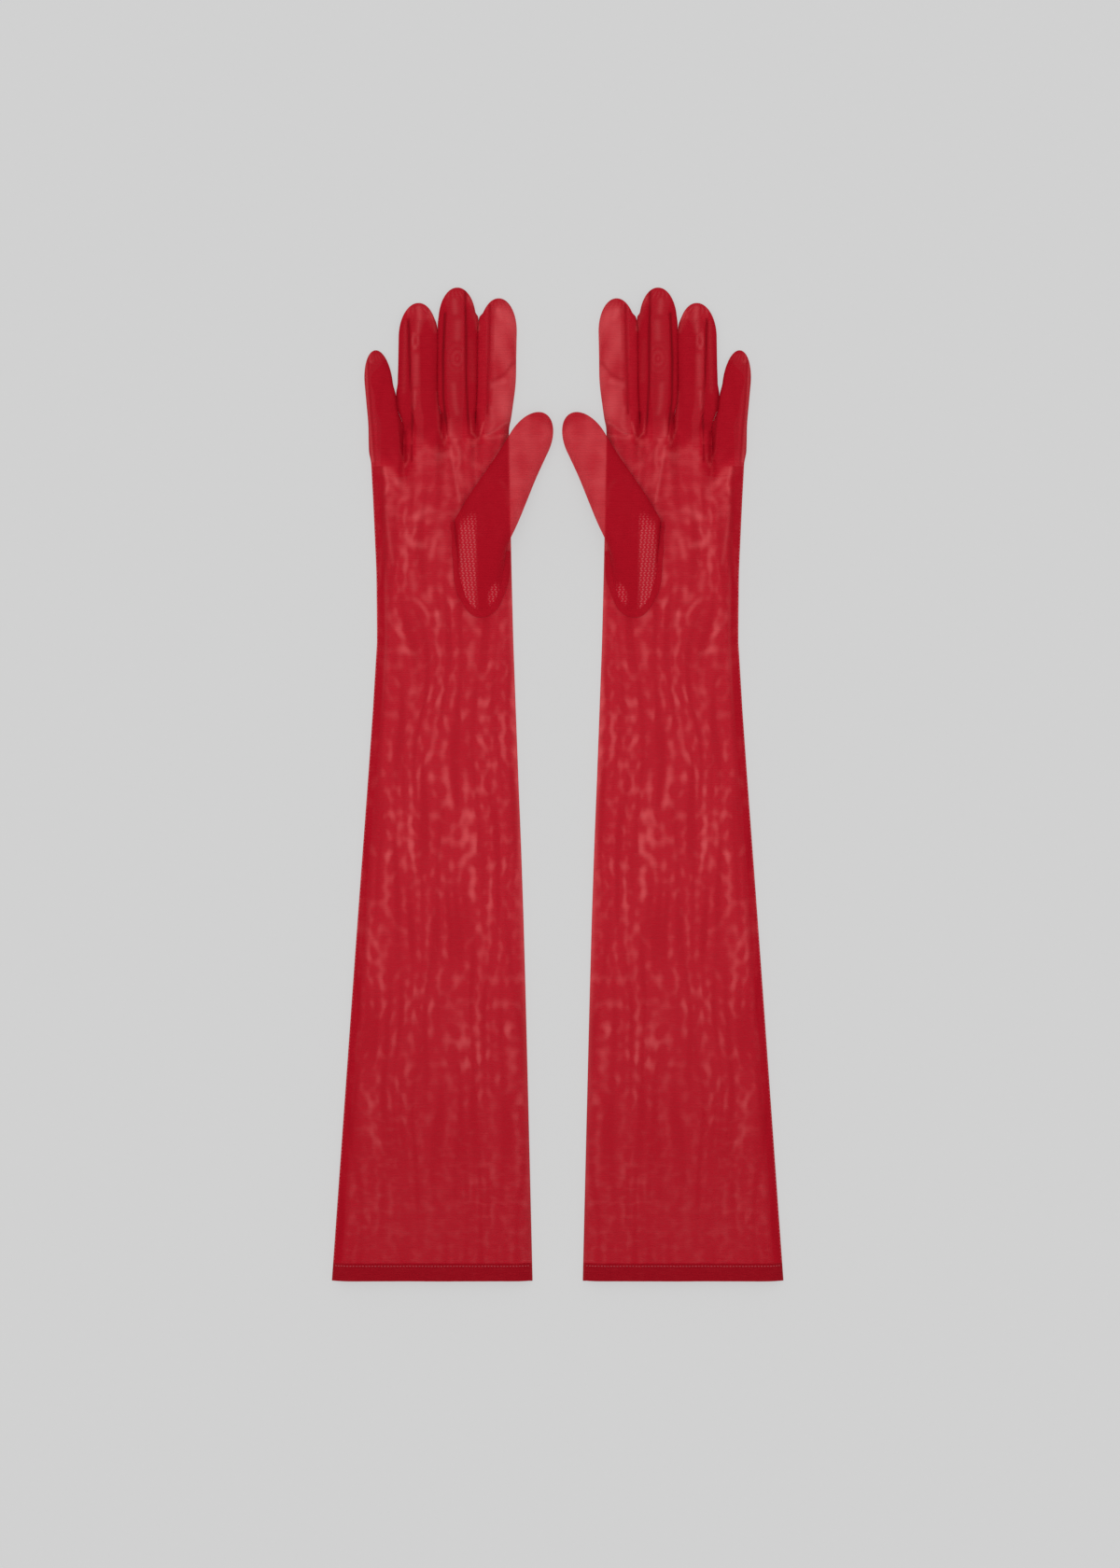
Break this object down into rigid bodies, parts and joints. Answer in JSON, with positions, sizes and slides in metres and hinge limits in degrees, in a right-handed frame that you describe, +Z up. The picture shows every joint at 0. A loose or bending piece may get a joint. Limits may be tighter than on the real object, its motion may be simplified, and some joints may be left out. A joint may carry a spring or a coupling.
{
  "type": "opera gloves",
  "caption": "Pair of long sheer stretch-mesh opera gloves laid flat, palms up, with side strips in the fingers, sewn-in thumbs and turned hems.",
  "frame": {"origin": "on the surface that the gloves lie on, midway between the two gloves and midway along their length", "axes": "+Y along the gloves to the fingertips, +X to the wearer's left glove (palms up), +Z up from the surface"},
  "size_m": [0.252, 0.554, 0.0125],
  "materials": {
    "mesh_cloth": "sheer fine-ribbed stretch mesh, red",
    "strip_cloth": "the same mesh in several layers, darker red",
    "hem_cloth": "the same mesh turned double at the hem, deep red",
    "thread": "sewing thread, lighter red, slightly glossy"
  },
  "bodies": {
    "right_hand": {"right_back_panel": "mesh_cloth", "right_crotch_little_ring": "strip_cloth", "right_crotch_middle_index": "strip_cloth", "right_crotch_ring_middle": "strip_cloth", "right_hem_back_side": "hem_cloth", "right_hem_palm_side": "hem_cloth", "right_hem_stitching": "thread", "right_palm_panel": "mesh_cloth", "right_side_seam": "strip_cloth", "right_thumb_insert": "mesh_cloth", "right_thumb_seam": "strip_cloth"},
    "right_little_finger": {"right_little_back_side": "mesh_cloth", "right_little_palm_side": "mesh_cloth", "right_little_strip_inner": "strip_cloth"},
    "right_ring_finger": {"right_ring_back_side": "mesh_cloth", "right_ring_palm_side": "mesh_cloth", "right_ring_strip_inner": "strip_cloth", "right_ring_strip_outer": "strip_cloth"},
    "right_middle_finger": {"right_middle_back_side": "mesh_cloth", "right_middle_palm_side": "mesh_cloth", "right_middle_strip_inner": "strip_cloth", "right_middle_strip_outer": "strip_cloth"},
    "right_index_finger": {"right_index_back_side": "mesh_cloth", "right_index_palm_side": "mesh_cloth", "right_index_strip_outer": "strip_cloth"},
    "right_thumb": {"right_thumb_back_side": "mesh_cloth", "right_thumb_palm_side": "mesh_cloth"},
    "left_hand": {"left_back_panel": "mesh_cloth", "left_crotch_little_ring": "strip_cloth", "left_crotch_middle_index": "strip_cloth", "left_crotch_ring_middle": "strip_cloth", "left_hem_back_side": "hem_cloth", "left_hem_palm_side": "hem_cloth", "left_hem_stitching": "thread", "left_palm_panel": "mesh_cloth", "left_side_seam": "strip_cloth", "left_thumb_insert": "mesh_cloth", "left_thumb_seam": "strip_cloth"},
    "left_little_finger": {"left_little_back_side": "mesh_cloth", "left_little_palm_side": "mesh_cloth", "left_little_strip_inner": "strip_cloth"},
    "left_ring_finger": {"left_ring_back_side": "mesh_cloth", "left_ring_palm_side": "mesh_cloth", "left_ring_strip_inner": "strip_cloth", "left_ring_strip_outer": "strip_cloth"},
    "left_middle_finger": {"left_middle_back_side": "mesh_cloth", "left_middle_palm_side": "mesh_cloth", "left_middle_strip_inner": "strip_cloth", "left_middle_strip_outer": "strip_cloth"},
    "left_index_finger": {"left_index_back_side": "mesh_cloth", "left_index_palm_side": "mesh_cloth", "left_index_strip_outer": "strip_cloth"},
    "left_thumb": {"left_thumb_back_side": "mesh_cloth", "left_thumb_palm_side": "mesh_cloth"}
  },
  "joints": [
    {"name": "right_little_fold", "type": "hinge", "parent": "right_hand", "child": "right_little_finger", "pos_m": [-0.0957, 0.178, 0.0054], "axis": [1, 0, 0], "range_deg": [0, 90]},
    {"name": "right_ring_fold", "type": "hinge", "parent": "right_hand", "child": "right_ring_finger", "pos_m": [-0.0754, 0.19, 0.0054], "axis": [1, 0, 0], "range_deg": [0, 90]},
    {"name": "right_middle_fold", "type": "hinge", "parent": "right_hand", "child": "right_middle_finger", "pos_m": [-0.0552, 0.1935, 0.0054], "axis": [1, 0, 0], "range_deg": [0, 90]},
    {"name": "right_index_fold", "type": "hinge", "parent": "right_hand", "child": "right_index_finger", "pos_m": [-0.0362, 0.196, 0.0054], "axis": [1, 0, 0], "range_deg": [0, 90]},
    {"name": "right_thumb_fold", "type": "hinge", "parent": "right_hand", "child": "right_thumb", "pos_m": [-0.04248, 0.1403, 0.0125], "axis": [0.8813, -0.4726, 0], "range_deg": [0, 90]},
    {"name": "left_little_fold", "type": "hinge", "parent": "left_hand", "child": "left_little_finger", "pos_m": [0.0957, 0.178, 0.0054], "axis": [1, 0, 0], "range_deg": [0, 90]},
    {"name": "left_ring_fold", "type": "hinge", "parent": "left_hand", "child": "left_ring_finger", "pos_m": [0.0754, 0.19, 0.0054], "axis": [1, 0, 0], "range_deg": [0, 90]},
    {"name": "left_middle_fold", "type": "hinge", "parent": "left_hand", "child": "left_middle_finger", "pos_m": [0.0552, 0.1935, 0.0054], "axis": [1, 0, 0], "range_deg": [0, 90]},
    {"name": "left_index_fold", "type": "hinge", "parent": "left_hand", "child": "left_index_finger", "pos_m": [0.0362, 0.196, 0.0054], "axis": [1, 0, 0], "range_deg": [0, 90]},
    {"name": "left_thumb_fold", "type": "hinge", "parent": "left_hand", "child": "left_thumb", "pos_m": [0.04248, 0.1403, 0.0125], "axis": [0.8813, 0.4726, 0], "range_deg": [0, 90]},
    {"name": "left_glove_lift", "type": "slide", "parent": "right_hand", "child": "left_hand", "axis": [0, 0, 1], "range_m": [0, 0.15]}
  ]
}
